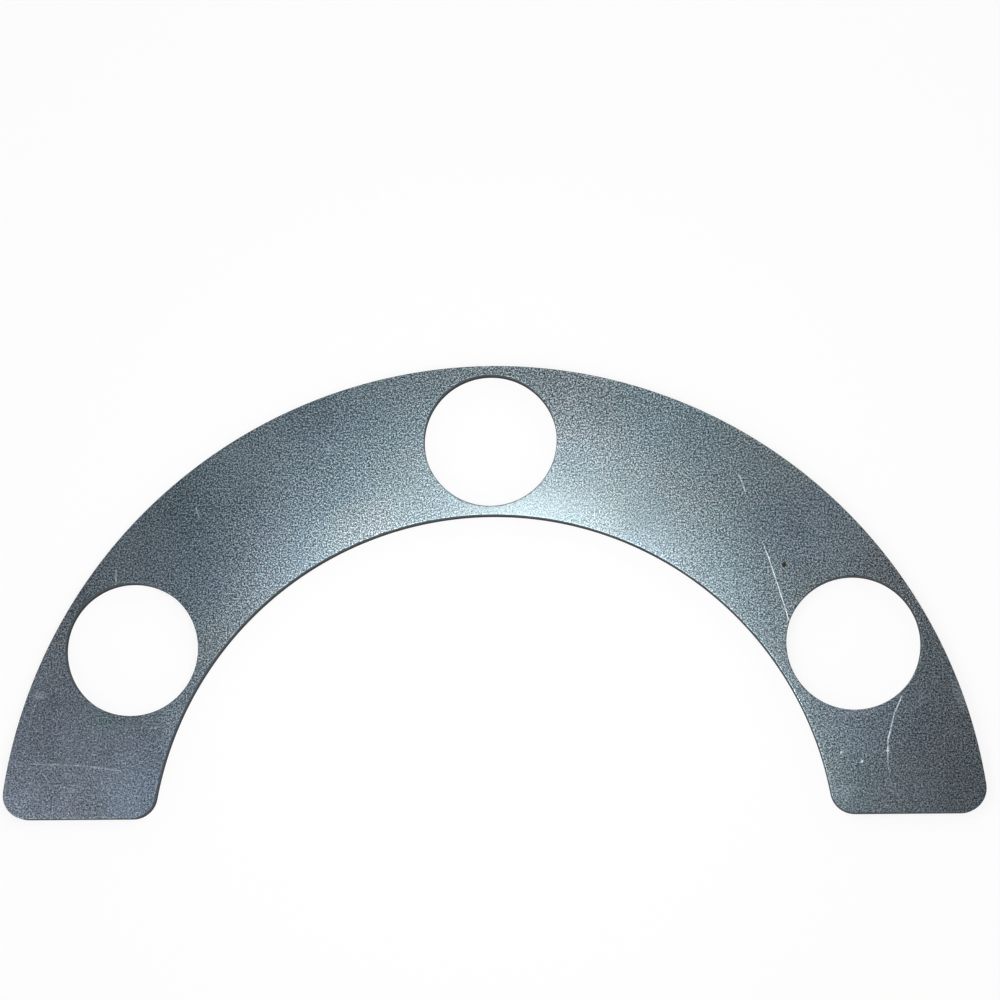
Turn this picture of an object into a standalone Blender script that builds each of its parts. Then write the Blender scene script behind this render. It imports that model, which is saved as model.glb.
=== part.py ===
# Half-ring shim: a blanked steel plate that slides in round a flange, on half of a six-bolt circle.
# Metres, +Z up. The plate lies flat on z = 0, its crown towards +Y and its two legs towards -Y.

from math import acos, atan2, ceil, cos, hypot, pi, radians, sin, sqrt

import bmesh
import bpy

# Driving dimensions
BORE_DIAMETER = 0.112
HOLE_DIAMETER = 0.022
HOLE_MARGIN = 0.0015        # metal left between a bolt hole and either arc
HOLE_PITCH = radians(60)
LEG_SETBACK = 0.0064        # how far the leg ends stop short of the full diameter
CORNER_RADIUS = 0.004
THICKNESS = 0.003
DIE_ROLL = 0.0002           # rounding that the punch leaves round the upper face
EDGE_BREAK = 0.0001         # small chamfer round the lower face
CHORD_ERROR = 0.00001       # how far a facet may stray from its true arc

# Facets across the two worked edges
DIE_ROLL_SEGMENTS = 3
EDGE_BREAK_SEGMENTS = 1

# Worked out from the driving dimensions
BORE_RADIUS = BORE_DIAMETER / 2
BAND_WIDTH = HOLE_DIAMETER + 2 * HOLE_MARGIN
OUTER_RADIUS = BORE_RADIUS + BAND_WIDTH
BOLT_CIRCLE_RADIUS = BORE_RADIUS + BAND_WIDTH / 2
ARC_CENTRE_Y = -(OUTER_RADIUS + LEG_SETBACK) / 2


def clear_scene():
    for old in list(bpy.data.objects):
        bpy.data.objects.remove(old, do_unlink=True)


def arc(centre, radius, start, end):
    # Points along an arc, both ends included, close enough together to keep the chord error.
    step = 2 * acos(1 - CHORD_ERROR / radius)
    count = ceil(abs(end - start) / step)
    angles = [start + (end - start) * i / count for i in range(count + 1)]
    return [(centre[0] + radius * cos(a), centre[1] + radius * sin(a)) for a in angles]


def without_repeats(points):
    # Where two stretches meet, their shared point is kept once.
    kept = []
    for point in points:
        if not kept or hypot(point[0] - kept[-1][0], point[1] - kept[-1][1]) > CHORD_ERROR:
            kept.append(point)
    return kept


def plate_outline():
    # Counter-clockwise about the arc centre. A corner's arc touches the leg's end line and the
    # arc of its side, so its centre lies one corner radius from both.
    corner_y = LEG_SETBACK + CORNER_RADIUS
    outer_x = sqrt((OUTER_RADIUS - CORNER_RADIUS) ** 2 - corner_y ** 2)
    bore_x = sqrt((BORE_RADIUS + CORNER_RADIUS) ** 2 - corner_y ** 2)
    outer_tangent = atan2(corner_y, outer_x)
    bore_tangent = atan2(corner_y, bore_x)
    down = -pi / 2

    right_outer = arc((outer_x, corner_y), CORNER_RADIUS, down, outer_tangent)
    crown = arc((0, 0), OUTER_RADIUS, outer_tangent, pi - outer_tangent)
    left_outer = arc((-outer_x, corner_y), CORNER_RADIUS, pi - outer_tangent, 2 * pi + down)
    left_inner = arc((-bore_x, corner_y), CORNER_RADIUS, down, -bore_tangent)
    bore = arc((0, 0), BORE_RADIUS, pi - bore_tangent, bore_tangent)
    right_inner = arc((bore_x, corner_y), CORNER_RADIUS, pi + bore_tangent, 2 * pi + down)
    return without_repeats(right_outer + crown + left_outer + left_inner + bore + right_inner)


def bolt_hole(steps_from_crown):
    # One hole's outline, a number of pitches round the bolt circle from the crown.
    angle = pi / 2 + steps_from_crown * HOLE_PITCH
    centre = (BOLT_CIRCLE_RADIUS * cos(angle), BOLT_CIRCLE_RADIUS * sin(angle))
    return arc(centre, HOLE_DIAMETER / 2, 0, 2 * pi)[:-1]


def filled_curve(name, outlines):
    # A flat 2D curve: the first outline is filled, and those inside it become holes.
    curve = bpy.data.curves.new(name, "CURVE")
    curve.dimensions = "2D"
    curve.fill_mode = "BOTH"
    curve.extrude = THICKNESS / 2
    for points in outlines:
        spline = curve.splines.new("POLY")
        spline.points.add(len(points) - 1)
        for spline_point, (x, y) in zip(spline.points, points):
            spline_point.co = (x, y, 0, 1)
        spline.use_cyclic_u = True
    guide = bpy.data.objects.new(name, curve)
    bpy.context.scene.collection.objects.link(guide)
    guide.location = (0, ARC_CENTRE_Y, THICKNESS / 2)
    return guide


def curve_to_plate(guide, name):
    # The curve becomes a closed mesh: its caps are welded on and cleared of needless edges.
    bpy.context.view_layer.update()
    evaluated = guide.evaluated_get(bpy.context.evaluated_depsgraph_get())
    mesh = bpy.data.meshes.new_from_object(evaluated)
    mesh.name = name
    plate = bpy.data.objects.new(name, mesh)
    plate.matrix_world = guide.matrix_world.copy()
    bpy.data.objects.remove(guide, do_unlink=True)

    bm = bmesh.new()
    bm.from_mesh(mesh)
    bmesh.ops.remove_doubles(bm, verts=bm.verts, dist=CHORD_ERROR / 10)
    bmesh.ops.dissolve_limit(bm, angle_limit=radians(0.1), verts=[], edges=bm.edges)
    bmesh.ops.recalc_face_normals(bm, faces=bm.faces)
    bm.to_mesh(mesh)
    bm.free()
    return plate


def work_rim(plate, height, width, segments):
    # Rounds or chamfers every edge where the flat face at this height meets a sheared wall.
    # Overlap isn't clamped, because that would hold the width to a share of one facet's length.
    bm = bmesh.new()
    bm.from_mesh(plate.data)
    rim = []
    for edge in bm.edges:
        level = all(abs(v.co.z - height) < CHORD_ERROR for v in edge.verts)
        if level and edge.calc_face_angle(0) > pi / 4:
            rim.append(edge)
    bmesh.ops.bevel(bm, geom=rim, offset=width, offset_type="OFFSET", segments=segments,
                    profile=0.5, affect="EDGES", clamp_overlap=False, loop_slide=False)
    bm.to_mesh(plate.data)
    bm.free()


def zinc_steel():
    material = bpy.data.materials.new("zinc_plated_steel")
    material.use_nodes = True
    shader = material.node_tree.nodes["Principled BSDF"]
    shader.inputs["Base Color"].default_value = (0.42, 0.47, 0.51, 1)
    shader.inputs["Metallic"].default_value = 1.0
    shader.inputs["Roughness"].default_value = 0.38
    return material


def build():
    clear_scene()
    collection = bpy.data.collections.new("half_ring_shim")
    bpy.context.scene.collection.children.link(collection)

    holes = [bolt_hole(steps) for steps in (-1, 0, 1)]
    guide = filled_curve("plate_guide", [plate_outline()] + holes)
    plate = curve_to_plate(guide, "shim_plate")
    collection.objects.link(plate)

    work_rim(plate, THICKNESS / 2, DIE_ROLL, DIE_ROLL_SEGMENTS)
    work_rim(plate, -THICKNESS / 2, EDGE_BREAK, EDGE_BREAK_SEGMENTS)

    plate.data.materials.clear()
    plate.data.materials.append(zinc_steel())
    plate.data.shade_smooth()
    plate.data.set_sharp_from_angle(angle=radians(35))


build()
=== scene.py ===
from math import radians

import bmesh
import bpy
import numpy as np
from mathutils import Matrix


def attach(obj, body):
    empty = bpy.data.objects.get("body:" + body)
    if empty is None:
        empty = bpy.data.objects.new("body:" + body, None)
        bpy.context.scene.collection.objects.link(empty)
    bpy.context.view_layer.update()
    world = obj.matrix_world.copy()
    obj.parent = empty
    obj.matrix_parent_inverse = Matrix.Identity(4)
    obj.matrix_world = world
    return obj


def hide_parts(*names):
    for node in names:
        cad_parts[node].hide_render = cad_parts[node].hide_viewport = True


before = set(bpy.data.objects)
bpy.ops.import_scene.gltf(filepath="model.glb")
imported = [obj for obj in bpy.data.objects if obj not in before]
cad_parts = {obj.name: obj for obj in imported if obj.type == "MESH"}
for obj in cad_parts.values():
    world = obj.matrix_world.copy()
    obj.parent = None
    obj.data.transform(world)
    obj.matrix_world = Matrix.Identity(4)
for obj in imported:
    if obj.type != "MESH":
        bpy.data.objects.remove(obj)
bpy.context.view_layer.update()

scene = bpy.context.scene
mm = 0.001
print("frame loaded:", ", ".join(sorted(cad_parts)))


# Half-ring plate: three bolt holes on the band, two legs, worked rims.
plate = {
    "boreDiameter": 112 * mm,
    "holeDiameter": 22 * mm,
    "holeMargin": 1.5 * mm,      # metal left between a bolt hole and either arc
    "holeAngles": (30, 90, 150),
    "legSetback": 6.4 * mm,      # leg ends stop this far short of the full diameter
    "cornerRadius": 4 * mm,
    "thickness": 3 * mm,
    "dieRoll": 0.10 * mm,        # tight rounding left by the punch round the upper face
    "rollIn": 0.0003 * mm,       # how far the face sinks towards that rounding
    "rimInset": 0.70 * mm,       # where the face starts to sink, and the flat patches end
    "landBottom": 1.75 * mm,     # burnished wall above this height, torn wall below
    "tearDepth": 0.02 * mm,      # how far the torn wall leans back by its lower edge
    "tearGrit": 0.018 * mm,
    "gritLength": 0.9 * mm,
    "gritFadeIn": 0.3 * mm,      # below the land and above the lower edge the grit grows slowly
    "gritFadeOut": 0.2 * mm,
    "lowerBreak": 0.10 * mm,
    "cellHalfAngle": 15,         # each bolt hole's cell, either side of its own angle
    "columnsPerCell": 70,
    "acrossBand": 40,
    "legRows": 24,
    "holeRings": 14,
    "sinkRows": 5,               # rows of faces down the edge, part by part
    "rollRows": 6,
    "landRow": 0.40 * mm,
    "tornRows": 8,
    "breakRows": 3,
    "weld": 0.002 * mm,
    "wave": 0.016 * mm,          # slow unevenness of the rolled sheet
    "waveLength": 34 * mm,
    "seed": 12,
    "upperSeed": 15,
    "lowerSeed": 17,
}
boreRadius = plate["boreDiameter"] / 2
bandWidth = plate["holeDiameter"] + 2 * plate["holeMargin"]
outerRadius = boreRadius + bandWidth
boltCircle = boreRadius + bandWidth / 2
cellCount = 2 * len(plate["holeAngles"]) - 1    # a cell round each hole, and one between holes
arcCentreY = -(outerRadius + plate["legSetback"]) / 2


def arcRun(centre, radius, start, end, side, count=600):
    # Circle about a centre: centre + radius * (cos a, sin a). The wall faces along the radius
    # where side is 1, and against it where side is -1.
    angle = np.linspace(start, end, count)
    ray = np.stack([np.cos(angle), np.sin(angle)], axis=1)
    return np.hstack([np.asarray(centre) + radius * ray, side * ray])


def lineRun(start, end, facing, count=600):
    # Straight run: start + (end - start) * t, with one facing all the way.
    t = np.linspace(0, 1, count)[:, None]
    points = np.asarray(start) + (np.asarray(end) - np.asarray(start)) * t
    return np.hstack([points, np.tile(facing, (count, 1))])


def spaced(runs, cells):
    # Joins runs and reads them at equal steps of length along the path.
    path = np.vstack(runs)
    step = np.hypot(*np.diff(path[:, :2], axis=0).T)
    length = np.concatenate([[0], np.cumsum(step)])
    at = np.linspace(0, length[-1], cells + 1)
    read = np.stack([np.interp(at, length, column) for column in path.T], axis=1)
    read[:, 2:] /= np.hypot(read[:, 2], read[:, 3])[:, None]
    return read


def drawnIn(path, inset):
    # Moves a wall path into the metal: point - inset * facing.
    return path[:, :2] - inset * path[:, 2:]


def blendedPatch(near, far, low, high):
    # Coons patch between four sides: the two lofts between facing sides, added, less the
    # bilinear patch through the corners.
    u = np.linspace(0, 1, len(near))[None, :, None]
    v = np.linspace(0, 1, len(low))[:, None, None]
    acrossSides = (1 - v) * near[None] + v * far[None]
    alongSides = (1 - u) * low[:, None] + u * high[:, None]
    corners = ((1 - u) * (1 - v) * near[0] + u * (1 - v) * near[-1]
               + (1 - u) * v * far[0] + u * v * far[-1])
    return acrossSides + alongSides - corners


def polar(radius, angle):
    # Points at every radius (across) and angle (down) about the arc centre.
    return np.stack([radius[None] * np.cos(angle)[:, None],
                     radius[None] * np.sin(angle)[:, None]], axis=2)


def gridFaces(rows, columns, first, closed=False):
    # Quads between neighbouring rows and columns of a grid of vertices.
    index = first + np.arange(rows * columns).reshape(rows, columns)
    if closed:
        index = np.hstack([index, index[:, :1]])
    return np.stack([index[:-1, :-1], index[:-1, 1:], index[1:, 1:], index[1:, :-1]],
                    axis=2).reshape(-1, 4)


def mirrored(path):
    # The same path on the plate's other side: x and the facing's x change sign.
    return path * np.array([-1, 1, -1, 1][:path.shape[-1]])


def ripple(points, waveLength, seed, waves=14):
    # Sum of cosines of random direction and phase, each 0.7 to 1.6 wavelengths long, scaled to
    # a spread of 1.
    draw = np.random.default_rng(seed)
    heading = draw.normal(size=(waves, points.shape[-1]))
    heading /= np.linalg.norm(heading, axis=1)[:, None]
    pitch = 2 * np.pi / (waveLength * draw.uniform(0.7, 1.6, waves))
    phase = draw.uniform(0, 2 * np.pi, waves)
    swell = np.cos(points @ (heading * pitch[:, None]).T + phase)
    return swell.sum(axis=-1) * (2 / waves) ** 0.5


def plateOutline():
    # Wall paths about the arc centre, cut where the flat patches meet. A corner's centre lies
    # one corner radius from the leg's end line and from the arc of its side.
    corner = plate["cornerRadius"]
    cornerY = plate["legSetback"] + corner
    outerX = ((outerRadius - corner) ** 2 - cornerY ** 2) ** 0.5
    boreX = ((boreRadius + corner) ** 2 - cornerY ** 2) ** 0.5
    outerTangent = np.arctan2(cornerY, outerX)
    boreTangent = np.arctan2(cornerY, boreX)
    firstRay = radians(plate["holeAngles"][0] - plate["cellHalfAngle"])
    down = -np.pi / 2
    outerHalf = (outerTangent + down) / 2
    boreStart = np.pi + boreTangent
    boreHalf = (boreStart + 2 * np.pi + down) / 2

    outerSide = spaced([
        arcRun((0, 0), outerRadius, firstRay, outerTangent, 1),
        arcRun((outerX, cornerY), corner, outerTangent, outerHalf, 1)], plate["legRows"])
    innerSide = spaced([
        arcRun((0, 0), boreRadius, firstRay, boreTangent, -1),
        arcRun((boreX, cornerY), corner, boreStart, boreHalf, 1)], plate["legRows"])
    endSide = spaced([
        arcRun((boreX, cornerY), corner, boreHalf, 2 * np.pi + down, 1),
        lineRun((boreX, plate["legSetback"]), (outerX, plate["legSetback"]), (0.0, -1.0)),
        arcRun((outerX, cornerY), corner, down, outerHalf, 1)], plate["acrossBand"])

    columns = cellCount * plate["columnsPerCell"]
    arcAngles = np.linspace(firstRay, np.pi - firstRay, columns + 1)
    ray = np.stack([np.cos(arcAngles), np.sin(arcAngles)], axis=1)
    crown = np.hstack([outerRadius * ray, ray])
    bore = np.hstack([boreRadius * ray, -ray])
    return outerSide, innerSide, endSide, arcAngles, crown, bore


def plateSurfaces():
    # Every wall path as a closed loop, and every flat patch of one face as a grid.
    outerSide, innerSide, endSide, arcAngles, crown, bore = plateOutline()
    inset = plate["rimInset"]
    outline = np.vstack([
        crown[:-1], mirrored(outerSide)[:-1], mirrored(endSide)[::-1][:-1],
        mirrored(innerSide)[::-1][:-1], bore[::-1][:-1], innerSide[:-1],
        endSide[:-1], outerSide[::-1][:-1]])
    loops = [outline]
    patches = []

    bandRadii = np.linspace(boreRadius + inset, outerRadius - inset, plate["acrossBand"] + 1)
    rightLeg = blendedPatch(
        polar(bandRadii, arcAngles[:1])[0], drawnIn(endSide, inset),
        drawnIn(innerSide, inset), drawnIn(outerSide, inset))
    patches += [rightLeg, mirrored(rightLeg)]

    columns = plate["columnsPerCell"]
    for cell in range(cellCount):
        angles = arcAngles[cell * columns:(cell + 1) * columns + 1]
        band = polar(bandRadii, angles)
        if cell % 2:
            patches.append(band)
            continue
        # Round a hole the grid runs in rings, from the hole's circle out to the cell's sides.
        rim = np.vstack([band[:-1, -1], band[-1, ::-1][:-1], band[::-1, 0][:-1], band[0, :-1]])
        holeAngle = radians(plate["holeAngles"][cell // 2])
        centre = boltCircle * np.array([np.cos(holeAngle), np.sin(holeAngle)])
        ray = (rim - centre) / np.linalg.norm(rim - centre, axis=1)[:, None]
        hole = np.hstack([centre + plate["holeDiameter"] / 2 * ray, -ray])
        loops.append(hole)
        t = np.linspace(0, 1, plate["holeRings"] + 1)[:, None, None]
        rings = drawnIn(hole, inset)[None] * (1 - t) + rim[None] * t
        patches.append(np.concatenate([rings, rings[:, :1]], axis=1))
    return loops, patches


def edgeProfile():
    # From the upper face, which sinks by rollIn * t^2, out over the die roll (a quarter
    # circle), down the burnished land, down the leaning torn wall and in over the lower edge:
    # pairs of inset and height.
    top, roll, sunk = plate["thickness"], plate["dieRoll"], plate["rollIn"]
    inset, lean, low = plate["rimInset"], plate["tearDepth"], plate["lowerBreak"]
    landBottom = plate["landBottom"]
    t = np.linspace(0, 1, plate["sinkRows"] + 1)[:-1]
    sinking = np.stack([inset + (roll - inset) * t, top - sunk * t ** 2], axis=1)
    turn = np.linspace(0, np.pi / 2, plate["rollRows"] + 1)
    rolled = np.stack([roll * (1 - np.sin(turn)),
                       top - sunk - roll * (1 - np.cos(turn))], axis=1)
    land = np.array([[0, landBottom + plate["landRow"]], [0, landBottom]])
    fall = np.linspace(0, 1, plate["tornRows"] + 1)[1:]
    torn = np.stack([lean * fall ** 1.5, landBottom + (low - landBottom) * fall], axis=1)
    turn = np.linspace(0, np.pi / 2, plate["breakRows"] + 1)[1:]
    broken = np.stack([lean + low * (1 - np.cos(turn)), low * (1 - np.sin(turn))], axis=1)
    return np.vstack([sinking, rolled, land, torn, broken, [[inset, 0]]])


def shimPlate():
    # The edge profile carried along each wall path, and the two flat faces between them.
    loops, patches = plateSurfaces()
    profile = edgeProfile()
    top = plate["thickness"]
    vertices = []
    depths = []
    faces = []
    count = 0

    def addGrid(grid, closed=False):
        nonlocal count
        rows, columns = grid.shape[:2]
        vertices.append(grid.reshape(-1, 3))
        depths.append(top - grid[:, :, 2].ravel())
        faces.append(gridFaces(rows, columns, count, closed))
        count += rows * columns

    for number, path in enumerate(loops):
        inset = np.repeat(profile[:, :1], len(path), axis=1)
        height = np.repeat(profile[:, 1:], len(path), axis=1)
        # The torn wall is gritty: it goes in and out by a short ripple, nothing at its ends.
        torn = np.clip((plate["landBottom"] - height) / plate["gritFadeIn"], 0, 1)
        torn *= np.clip((height - plate["lowerBreak"]) / plate["gritFadeOut"], 0, 1)
        spot = np.concatenate([np.broadcast_to(path[None, :, :2], inset.shape + (2,)),
                               height[..., None]], axis=2)
        grit = ripple(spot, plate["gritLength"], plate["seed"] + number, waves=30)
        inset = inset + plate["tearGrit"] * torn * (grit - grit.min())
        flat = path[None, :, :2] - inset[..., None] * path[None, :, 2:]
        addGrid(np.concatenate([flat, height[..., None]], axis=2), closed=True)
    for patch in patches:
        for level in (top, 0):
            height = np.full(patch.shape[:2] + (1,), level)
            addGrid(np.concatenate([patch, height], axis=2))

    points = np.vstack(vertices)
    points[:, 1] += arcCentreY
    # Rolled sheet is never quite flat: the faces dip inwards by slow waves.
    for level, seed in ((top, plate["upperSeed"]), (0, plate["lowerSeed"])):
        share = np.clip(1 - abs(points[:, 2] - level) / (top / 2), 0, 1)
        wave = ripple(points[:, :2], plate["waveLength"], seed)
        dip = plate["wave"] * (1 + np.tanh(wave)) / 2
        points[:, 2] += share * dip * (-1 if level else 1)

    mesh = bpy.data.meshes.new("halfRingShim")
    mesh.from_pydata(points.tolist(), [], np.vstack(faces).tolist())
    # How far each point lay below the upper face before the waves, read by the material.
    depth = mesh.attributes.new("depth", "FLOAT", "POINT")
    depth.data.foreach_set("value", np.concatenate(depths))
    bm = bmesh.new()
    bm.from_mesh(mesh)
    bmesh.ops.remove_doubles(bm, verts=bm.verts, dist=plate["weld"])
    bmesh.ops.recalc_face_normals(bm, faces=bm.faces)
    openEdges = sum(1 for edge in bm.edges if len(edge.link_faces) != 2)
    print("shim plate:", len(bm.faces), "faces,", openEdges, "open edges,",
          round(bm.calc_volume() * 1e9, 1), "cubic mm")
    bm.to_mesh(mesh)
    bm.free()
    mesh.shade_smooth()
    piece = bpy.data.objects.new("halfRingShim", mesh)
    scene.collection.objects.link(piece)
    return piece


class Signal:
    # One shader socket. Arithmetic on signals and numbers adds Math nodes to the tree.
    def __init__(self, tree, socket):
        self.tree = tree
        self.socket = socket

    def math(self, operation, *terms, clamp=False):
        settings = {"operation": operation, "use_clamp": clamp}
        return addNode(self.tree, "ShaderNodeMath", settings, dict(enumerate(terms)))[0]

    def __add__(self, other):
        return self.math("ADD", self, other)

    def __sub__(self, other):
        return self.math("SUBTRACT", self, other)

    def __rsub__(self, other):
        return self.math("SUBTRACT", other, self)

    def __mul__(self, other):
        return self.math("MULTIPLY", self, other)

    def __truediv__(self, other):
        return self.math("DIVIDE", self, other)

    def __pow__(self, other):
        return self.math("POWER", self, other)

    __radd__ = __add__
    __rmul__ = __mul__

    def smaller(self, other):
        return self.math("MINIMUM", self, other)

    def larger(self, other):
        return self.math("MAXIMUM", self, other)

    def clamped(self):
        return self.math("ADD", self, 0.0, clamp=True)


def addNode(tree, kind, settings=None, sockets=None):
    # Makes a node: its settings first, then a value or a signal for each named input socket.
    node = tree.nodes.new(kind)
    for name, value in (settings or {}).items():
        setattr(node, name, value)
    for name, value in (sockets or {}).items():
        if isinstance(value, Signal):
            tree.links.new(value.socket, node.inputs[name])
        else:
            node.inputs[name].default_value = value
    return [Signal(tree, socket) for socket in node.outputs]


def smoothStep(value, low, high):
    # 0 at low, 1 at high, with soft ends. Where low is the larger, it rises downwards.
    return addNode(value.tree, "ShaderNodeMapRange", {"interpolation_type": "SMOOTHSTEP"},
                   {"Value": value, "From Min": low, "From Max": high})[0]


def fadeOut(value, near, far):
    # 1 at near, 0 at far, with soft ends.
    return 1 - smoothStep(value, near, far)


def combined(tree, red, green, blue):
    # A colour from three values.
    return addNode(tree, "ShaderNodeCombineColor", {}, {0: red, 1: green, 2: blue})[0]


def mixColours(tree, factor, first, second, blend="MIX"):
    return addNode(tree, "ShaderNodeMix", {"data_type": "RGBA", "blend_type": blend},
                   {0: factor, 6: first, 7: second})[2]


def noise(tree, place, scale, detail=2.0, roughness=0.5):
    return addNode(tree, "ShaderNodeTexNoise", {}, {
        "Vector": place, "Scale": scale, "Detail": detail, "Roughness": roughness})[0]


def newMaterial(name):
    material = bpy.data.materials.new(name)
    material.use_nodes = True
    tree = material.node_tree
    tree.nodes.clear()
    return material, tree


# Zinc plating: a crystalline film with slow tints, painted glints, and what has marked it.
zinc = {
    "film": (0.336, 0.430, 0.482, 1),
    "bareMetal": (0.90, 0.97, 1.0, 1),
    "rust": (0.056, 0.041, 0.022, 1),
    "metallic": 0.92,
    "roughness": 0.270,
    "crystalsPerMetre": 3700,    # each crystal carries finer ones
    "finerCrystals": 1.9,
    "crystalShade": 5.5,         # how far crystals differ in brightness
    "finerShade": 7.2,
    "crystalTint": (1.03, 1.0, 0.985),   # bright crystals are a little warmer
    "crystalHeight": 0.004 * mm,
    "darkest": 0.26,             # the least that a crystal leaves of the film's brightness
    "legCalm": 0.32,             # on the legs crystals differ less, and some carry painted glints
    "paintedGlintsPerMetre": 2600,
    "paintedGlintShade": 0.55,
    "blotchesPerMetre": 120,
    "blotchShade": 0.38,
    "blotchHeight": 0.010 * mm,
    "warmPerMetre": 105,         # slow hues of the film, and how far they go
    "coolPerMetre": 135,
    "hueShade": 0.10,
    "gapsPerMetre": 700,         # gaps along the scratches
    "scratchDepth": 0.01 * mm,
    "speckRadii": (0.14 * mm, 0.30 * mm),   # full inside the first, gone beyond the second
    "rustRadii": (0.28 * mm, 0.60 * mm),
}

# Sheared wall: a burnished land above, torn steel below, their colours dark with painted shade.
shadedWall = {
    "land": (0.090, 0.125, 0.145, 1),
    "torn": (0.060, 0.066, 0.074, 1),
    "stain": (0.078, 0.066, 0.052, 1),
    "landRoughness": 0.55,
    "tornRoughness": 0.85,
    "wandersPerMetre": 180,      # the line between land and torn steel wanders up and down
    "wander": 1.0 * mm,
    "streaksPerMetre": 2600,
    "streakStretch": 0.12,
    "streakHeight": 0.012 * mm,
    "gritPerMetre": 3200,
    "gritHeight": 0.05 * mm,
    "stainsPerMetre": 260,
}

# Slow tints over the upper face: middle in mm, half lengths in mm, turn in degrees, colour,
# strength. The warmer one at (8, 13), along the band between the middle hole and the bore, is
# the paler colour of a painted highlight.
faceTintsAndHighlightTint = (
    ((-24, 20), (30, 20), 25, (0.302, 0.430, 0.512, 1), 1.0),
    ((-45, 12), (22, 22), 0, (0.318, 0.430, 0.540, 1), 0.9),
    ((-20, 11), (11, 6), 25, (0.352, 0.430, 0.462, 1), 0.9),
    ((-13, 18), (9, 8), 0, (0.334, 0.430, 0.468, 1), 0.9),
    ((41, 10), (9, 22), 15, (0.318, 0.430, 0.498, 1), 0.9),
    ((30, 27), (14, 9), -35, (0.306, 0.430, 0.508, 1), 0.9),
    ((-28, 28), (10, 7), 20, (0.304, 0.430, 0.545, 1), 0.7),
    ((8, 13), (26, 10), 0, (0.348, 0.430, 0.458, 1), 0.9),
    ((-72, -30), (28, 25), 0, (0.366, 0.430, 0.528, 1), 1.0),
    ((-72, -8), (9, 15), -20, (0.372, 0.430, 0.515, 1), 0.9),
    ((-63, -20.5), (3.5, 3.5), 0, (0.318, 0.430, 0.475, 1), 0.8),
    ((-56, -33), (9, 12), 0, (0.345, 0.430, 0.560, 1), 0.8),
    ((70, 2), (11, 27), 22, (0.374, 0.430, 0.492, 1), 0.9),
    ((74, -30), (14, 24), -15, (0.368, 0.430, 0.490, 1), 1.0),
    ((53, 9), (12, 10), -40, (0.338, 0.430, 0.537, 1), 0.9),
    ((-58, 7), (10, 11), 0, (0.348, 0.430, 0.520, 1), 0.7),
    ((62, -22), (11, 9), 0, (0.345, 0.430, 0.530, 1), 0.8),
    ((-48, -22), (8, 12), 20, (0.352, 0.430, 0.535, 1), 0.8),
)

# Where the crystals stand out less or more: middle, half lengths, turn, change. The first two
# calm them along the band below the middle hole, where the highlight falls: the highlight's
# washed-out look, painted.
grainPatchesAndHighlightCalm = (
    ((8, 14), (32, 13), -5, -0.50),
    ((4, 13), (17, 6), 0, -0.28),
    ((34, 1), (22, 9), -45, -0.32),
    ((-23, 10), (20, 10), 30, -0.16),
    ((-57, 2), (17, 16), 0, -0.34),
    ((49, 8), (11, 11), -40, -0.18),
    ((-70, -31), (30, 26), 0, -0.40),
    ((66, -36), (20, 10), 0, -0.24),
)

# Patches where the face is lighter or darker: partly blotches and flecks of the film, partly
# painted highlight and shade where the lamps fall short; the band between the middle hole and
# the bore at (4, 14) is a painted highlight. Middle, half lengths, turn, change.
blotchesAndPaintedLight = (
    ((-47, 10), (14, 20), -50, -0.12),
    ((-38, 23), (9, 7), 30, 0.10),
    ((-45, 20), (8, 6), 45, 0.16),
    ((-30, 29.5), (9, 4.5), 25, -0.12),
    ((-24, 15), (9, 6), 0, -0.10),
    ((-8, 11), (12, 6), 0, -0.10),
    ((14, 31), (14, 6), -15, -0.07),
    ((25, 11), (15, 8), -15, 0.05),
    ((35, 8), (9, 10), -25, 0.09),
    ((22, 20), (8, 6), -20, 0.10),
    ((58, 7), (9, 9), 40, 0.18),
    ((48, 11), (6, 8), 0, -0.09),
    ((-42, 20), (7, 6), 30, 0.08),
    ((4, 14), (15, 5), 0, 0.08),
    ((-59, 5), (11, 11), 0, 0.16),
    ((-66.5, -17.5), (8, 6), -20, -0.07),
    ((-66, -35), (5, 4), 0, -0.09),
    ((-65, -24), (4, 4), 0, 0.08),
    ((79, -36), (6, 6), 0, 0.07),
    ((-58, -35), (5, 6), 0, 0.13),
    ((10, 35), (9, 3.5), -10, -0.12),
    ((-78, -33), (5, 6), 0, 0.10),
    ((71, -26), (13, 8), 0, -0.06),
    ((67, -38), (20, 8), 0, 0.08),
    ((39, -3), (7, 8), -50, 0.10),
    ((30.5, 23.6), (2.4, 0.9), 15, 0.22),
    ((-26.6, 23.6), (1.6, 1.1), 30, 0.30),
    ((76.2, -18.4), (1.1, 3.4), 20, 0.60),
    ((-74.6, -17.0), (1.3, 0.8), 0, 0.70),
    ((70.0, -18.5), (0.8, 1.6), 0, 0.35),
    ((59.7, 10.4), (1.6, 1.0), -40, 0.20),
    ((60.9, -20.4), (4.5, 1.3), 8, 0.25),
    ((57.5, -33.8), (2.0, 1.6), 0, 0.20),
)

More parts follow.
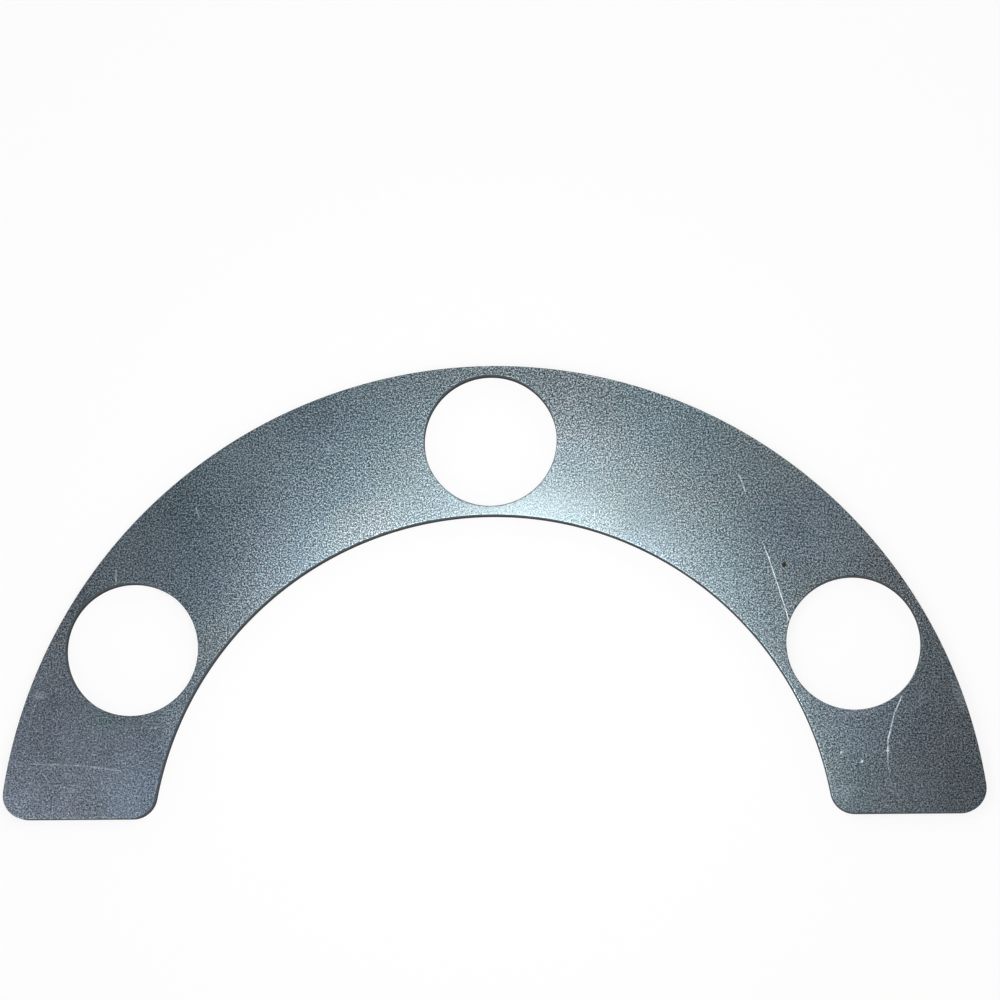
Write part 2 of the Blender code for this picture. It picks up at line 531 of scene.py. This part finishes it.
# Scratches on the upper face: points in mm, width in mm, strength.
scratches = (
    (((41.0, 18.6), (41.5, 17.1), (42.0, 15.6)), 0.11, 0.65),
    (((44.6, 7.3), (45.4, 5.4)), 0.11, 0.35),
    (((45.4, 5.4), (47.0, 0.3), (48.9, -6.2)), 0.12, 0.95),
    (((66.9, -18.3), (65.7, -20.9), (64.9, -23.8)), 0.12, 0.80),
    (((64.9, -23.8), (64.5, -25.4), (64.4, -27.3)), 0.13, 1.00),
    (((64.4, -27.3), (64.4, -29.4), (64.6, -30.7)), 0.11, 0.60),
    (((64.6, -30.7), (64.8, -32.6), (65.2, -34.5)), 0.11, 0.20),
    (((72.8, -15.2), (72.7, -15.9), (72.2, -16.6)), 0.15, 0.35),
    (((68.6, -19.4), (68.1, -22.0)), 0.12, 0.25),
    (((-48.9, 14.0), (-48.2, 12.3)), 0.15, 0.50),
    (((-62.05, 3.8), (-62.0, 1.1)), 0.16, 0.40),
    (((-74.7, -17.0), (-75.6, -20.0), (-76.4, -23.1)), 0.14, 0.32),
    (((-76.0, -28.2), (-67.6, -28.6), (-60.8, -29.5)), 0.13, 0.34),
    (((-70.2, -33.0), (-68.8, -36.5)), 0.14, 0.34),
)
specks = ((56.9, -27.4), (60.2, -28.9), (64.4, -27.2))
rustSpot = (48.2, 3.5)


def strokeDistance(x, y, points):
    # Shortest distance to a chain of straight runs: for each run the point is projected on
    # it, the place along it held between its ends, and the gap measured.
    nearest = None
    for (ax, ay), (bx, by) in zip(points, points[1:]):
        ax, ay, bx, by = ax * mm, ay * mm, bx * mm, by * mm
        dx, dy = bx - ax, by - ay
        along = ((x - ax) * dx + (y - ay) * dy) / (dx * dx + dy * dy)
        along = along.clamped()
        gapX = x - ax - along * dx
        gapY = y - ay - along * dy
        gap = (gapX * gapX + gapY * gapY) ** 0.5
        nearest = gap if nearest is None else nearest.smaller(gap)
    return nearest


def spotDistance(x, y, place):
    gapX, gapY = x - place[0] * mm, y - place[1] * mm
    return (gapX * gapX + gapY * gapY) ** 0.5


def softSpot(x, y, middle, halves, turn):
    # A turned ellipse: 1 in its middle, falling smoothly to 0 at its edge, where
    # (u / half length)^2 + (v / half width)^2 = 1.
    turned = Matrix.Rotation(radians(turn), 2)
    gapX, gapY = x - middle[0] * mm, y - middle[1] * mm
    u = (gapX * turned[0][0] + gapY * turned[1][0]) / (halves[0] * mm)
    v = (gapX * turned[0][1] + gapY * turned[1][1]) / (halves[1] * mm)
    return 1 - smoothStep(u * u + v * v, 0, 1)


def spotted(x, y, value, patches):
    # A value that soft spots raise or lower.
    for middle, halves, turn, change in patches:
        value = value + softSpot(x, y, middle, halves, turn) * change
    return value


def zincFilm(tree, place, x, y):
    # The plated face's colour, roughness and height: small crystals over slow blotches, with
    # painted highlight, shade and glints.
    legs = smoothStep(y, -2 * mm, -14 * mm)
    leftLeg = legs * smoothStep(x, 0, -1 * mm)
    crystals = noise(tree, place, zinc["crystalsPerMetre"], 0.0)
    finer = noise(tree, place, zinc["crystalsPerMetre"] * zinc["finerCrystals"], 0.0)
    blotch = noise(tree, place, zinc["blotchesPerMetre"], 4.0, 0.62)
    warmth = noise(tree, place, zinc["warmPerMetre"], 2.0, 0.6) - 0.5
    coolness = noise(tree, place, zinc["coolPerMetre"], 2.0, 0.6) - 0.5
    paintedGlint = smoothStep(noise(tree, place, zinc["paintedGlintsPerMetre"], 0.0), 0.60, 0.72)

    # Blotches, with patches of painted highlight and shade over them.
    film = spotted(x, y, 1 + (blotch - 0.5) * zinc["blotchShade"] * (1 + leftLeg), blotchesAndPaintedLight)
    # The grain is calmed where the highlight falls, which paints the highlight's washed-out
    # look.
    contrast = spotted(x, y, 1, grainPatchesAndHighlightCalm)
    crystal = (crystals - 0.5) * zinc["crystalShade"] + (finer - 0.5) * zinc["finerShade"]
    crystal = crystal * contrast * (1 - legs * zinc["legCalm"])
    # The bright ones are stretched a little further than the dark ones; painted glints light a
    # few on the legs.
    crystal = crystal + crystal * crystal * 0.1 - 0.08 + paintedGlint * legs * zinc["paintedGlintShade"]
    hues = (1 + warmth * zinc["hueShade"], 1, 1 + coolness * zinc["hueShade"])
    shades = [((crystal * share + film) * hue).larger(zinc["darkest"])
              for share, hue in zip(zinc["crystalTint"], hues)]
    # Tints, one of them a painted highlight's paler colour.
    tint = zinc["film"]
    for middle, halves, turn, colour, strength in faceTintsAndHighlightTint:
        spot = softSpot(x, y, middle, halves, turn)
        tint = mixColours(tree, spot * strength, tint, colour)

    colour = mixColours(tree, 1.0, tint, combined(tree, *shades), "MULTIPLY")
    roughness = zinc["roughness"] + blotch * 0.02
    height = ((crystals - 0.5) * contrast * zinc["crystalHeight"]
              + (blotch - 0.5) * zinc["blotchHeight"])
    return colour, roughness, height


def bareMarks(tree, place, x, y):
    # 1 where metal is bare: scratches with faint gaps along them, and whole specks.
    marks = None
    for points, width, strength in scratches:
        gap = strokeDistance(x, y, points)
        line = fadeOut(gap, width * 0.35 * mm, width * mm) * strength
        marks = line if marks is None else marks.larger(line)
    gaps = smoothStep(noise(tree, place, zinc["gapsPerMetre"], 2.0), 0.36, 0.58)
    marks = marks * (0.40 + gaps * 0.60)
    for speck in specks:
        marks = marks.larger(fadeOut(spotDistance(x, y, speck), *zinc["speckRadii"]))
    return marks


def shearedWall(tree, place, torn):
    # The wall's colour, roughness and height: upright burnish lines on the land, and grit,
    # pits and a little rust where the steel tore, over colours darkened with painted shade.
    stretched = addNode(tree, "ShaderNodeMapping", {}, {
        "Vector": place, "Scale": (1, 1, shadedWall["streakStretch"])})[0]
    streak = noise(tree, stretched, shadedWall["streaksPerMetre"], 2.0, 0.6)
    grit = noise(tree, place, shadedWall["gritPerMetre"], 2.0, 0.7)
    stain = smoothStep(noise(tree, place, shadedWall["stainsPerMetre"], 3.0), 0.45, 0.65)
    burnish = 0.35 + smoothStep(streak, 0.3, 0.7) * 0.65
    pits = 0.4 + grit * 1.2

    landColour = mixColours(tree, burnish, shadedWall["torn"], shadedWall["land"])
    tornColour = mixColours(tree, stain, shadedWall["torn"], shadedWall["stain"])
    tornColour = mixColours(tree, 1.0, tornColour, combined(tree, pits, pits, pits), "MULTIPLY")
    colour = mixColours(tree, torn, landColour, tornColour)
    roughness = (shadedWall["landRoughness"] + torn * (shadedWall["tornRoughness"] - shadedWall["landRoughness"])
                 + (streak - 0.5) * 0.15)
    height = ((streak - 0.5) * shadedWall["streakHeight"] * (1 - torn)
              + (grit - 0.5) * shadedWall["gritHeight"] * torn)
    return colour, roughness, height


def platedSteel():
    # Film, then bare marks, then rust, then the sheared wall over them, each by its mask; the
    # wall's dark colours are painted shade.
    material, tree = newMaterial("zincSteel")
    place = addNode(tree, "ShaderNodeTexCoord")[3]
    x, y, z = addNode(tree, "ShaderNodeSeparateXYZ", {}, {0: place})
    upper = smoothStep(z, 2.3 * mm, 2.9 * mm)

    # The sheared wall lies between the die roll and the lower edge; its painted shade starts
    # on the die roll.
    depth = addNode(tree, "ShaderNodeAttribute", {"attribute_name": "depth"})[2]
    shadedCut = smoothStep(depth, 0.0005 * mm, 0.006 * mm) * smoothStep(z, 0.03 * mm, 0.12 * mm)
    wander = noise(tree, place, shadedWall["wandersPerMetre"], 2.0)
    landEdge = z + (wander - 0.5) * shadedWall["wander"]
    torn = fadeOut(landEdge, plate["landBottom"] - 0.25 * mm, plate["landBottom"] + 0.25 * mm)

    filmColour, filmRoughness, filmHeight = zincFilm(tree, place, x, y)
    wallColourAndShade, wallRoughness, wallHeight = shearedWall(tree, place, torn)
    bare = bareMarks(tree, place, x, y) * upper
    rust = fadeOut(spotDistance(x, y, rustSpot), *zinc["rustRadii"]) * upper

    colour = mixColours(tree, bare, filmColour, zinc["bareMetal"])
    colour = mixColours(tree, rust, colour, zinc["rust"])
    colour = mixColours(tree, shadedCut, colour, wallColourAndShade)
    roughness = (filmRoughness + bare * 0.35 + rust * 0.4) * (1 - shadedCut) + wallRoughness * shadedCut
    metallic = (1 - rust) * (1 - shadedCut) * zinc["metallic"]
    height = (filmHeight - bare * zinc["scratchDepth"]) * (1 - shadedCut) + wallHeight * shadedCut
    normal = addNode(tree, "ShaderNodeBump", {}, {
        "Strength": 1.0, "Distance": 1.0, "Height": height})[0]

    surface = addNode(tree, "ShaderNodeBsdfPrincipled", {}, {
        "Base Color": colour, "Roughness": roughness, "Metallic": metallic, "Normal": normal,
        "Specular IOR Level": 0.05})[0]
    addNode(tree, "ShaderNodeOutputMaterial", {}, {"Surface": surface})
    return material


shim = shimPlate()
shim.data.materials.append(platedSteel())
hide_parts("shim_plate")
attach(shim, "root")
print("zinc plating on the steel")


# A white floor, dim ceiling and pale walls, and three level panels overhead.
studio = {
    "floorRadius": 5.0,
    "floorHeight": -0.02 * mm,
    "floorRings": 8,
    "floorSpokes": 64,
    "floorColour": (0.80, 0.80, 0.80, 1),
    "seenFloor": (0.15, 0.15, 0.15, 1),   # what the camera sees of it: this, lit, and the glow
    "seenGlow": 0.89,
    "ceiling": (0.037, 0.037, 0.037, 1),
    "walls": (0.45, 0.45, 0.45, 1),
}

# Panels hang level and shine straight down.
lamps = {
    "softbox": {"at": (0.00175, -0.00798, 0.1466), "size": (0.0557, 0.0794), "turn": 30.1,
                "radiance": 5.83},
    "leftPanel": {"at": (-0.206, -0.226, 0.40), "size": (0.210, 0.401), "turn": 0,
                  "radiance": 1.35},
    "backPanel": {"at": (0.178, 0.458, 0.40), "size": (0.433, 0.652), "turn": 0,
                  "radiance": 0.71},
}

# Almost straight above the plate; turns are in degrees about X, Y and Z.
view = {
    "at": (0.025326, -0.071963, 0.563543),
    "turns": (8.7734, 2.4688, -0.2770),
    "lens": 123.773,
    "clip": (0.01, 50),
}


def seenDirectly(tree):
    # 1 for what the camera, a reflection or a refraction sees, 0 for light that the floor gives.
    rays = {signal.socket.name: signal for signal in addNode(tree, "ShaderNodeLightPath")}
    seen = rays["Is Camera Ray"] + rays["Is Glossy Ray"] + rays["Is Transmission Ray"]
    return seen.clamped()


def floorPaper():
    material, tree = newMaterial("floorPaper")
    plain = addNode(tree, "ShaderNodeBsdfDiffuse", {}, {"Color": studio["floorColour"]})[0]
    lit = addNode(tree, "ShaderNodeBsdfDiffuse", {}, {"Color": studio["seenFloor"]})[0]
    glow = addNode(tree, "ShaderNodeEmission", {}, {
        "Color": (1, 1, 1, 1), "Strength": studio["seenGlow"]})[0]
    bright = addNode(tree, "ShaderNodeAddShader", {}, {0: lit, 1: glow})[0]
    surface = addNode(tree, "ShaderNodeMixShader", {}, {
        0: seenDirectly(tree), 1: plain, 2: bright})[0]
    addNode(tree, "ShaderNodeOutputMaterial", {}, {"Surface": surface})
    return material


def studioFloor():
    # A disc: radius * t^2 * (cos a, sin a) on rings t and spokes a, closed round its middle.
    rings, spokes = studio["floorRings"], studio["floorSpokes"]
    reach = studio["floorRadius"] * np.linspace(0, 1, rings + 1)[1:, None] ** 2
    angle = np.linspace(0, 2 * np.pi, spokes + 1)[None, :-1]
    level = np.full((rings, spokes), studio["floorHeight"])
    points = np.stack([reach * np.cos(angle), reach * np.sin(angle), level], axis=2)
    points = np.vstack([points.reshape(-1, 3), [[0, 0, studio["floorHeight"]]]])
    quads = gridFaces(rings, spokes, 0, closed=True)[:, ::-1].tolist()
    middle = [[k, (k + 1) % spokes, rings * spokes] for k in range(spokes)]
    mesh = bpy.data.meshes.new("studioFloor")
    mesh.from_pydata(points, [], quads + middle)
    mesh.shade_smooth()
    mesh.materials.append(floorPaper())
    floor = bpy.data.objects.new("studioFloor", mesh)
    scene.collection.objects.link(floor)
    return floor


def studioWorld():
    # The room, read from the height of the direction looked in.
    world = bpy.data.worlds.new("studioRoom")
    world.use_nodes = True
    tree = world.node_tree
    tree.nodes.clear()
    direction = addNode(tree, "ShaderNodeTexCoord")[0]
    height = addNode(tree, "ShaderNodeSeparateXYZ", {}, {0: direction})[2]
    overhead = smoothStep(height, 0.6, 0.8)
    colour = mixColours(tree, overhead, studio["walls"], studio["ceiling"])
    background = addNode(tree, "ShaderNodeBackground", {}, {
        "Color": colour, "Strength": 1.0})[0]
    addNode(tree, "ShaderNodeOutputWorld", {}, {"Surface": background})
    scene.world = world


def addLamp(name, setting):
    data = bpy.data.lights.new(name, "AREA")
    data.shape = "RECTANGLE"
    data.size, data.size_y = setting["size"]
    data.energy = setting["radiance"] * np.pi * data.size * data.size_y
    lamp = bpy.data.objects.new(name, data)
    lamp.location = setting["at"]
    lamp.rotation_euler.z = radians(setting["turn"])
    lamp.visible_camera = False
    scene.collection.objects.link(lamp)


studioFloor()
studioWorld()
for name, setting in lamps.items():
    addLamp(name, setting)

camera = bpy.data.objects.new("camera", bpy.data.cameras.new("camera"))
camera.data.lens = view["lens"]
camera.data.clip_start, camera.data.clip_end = view["clip"]
camera.location = view["at"]
camera.rotation_euler = [radians(turn) for turn in view["turns"]]
scene.collection.objects.link(camera)
scene.camera = camera
scene.view_settings.view_transform = "Standard"
print("studio and camera set")
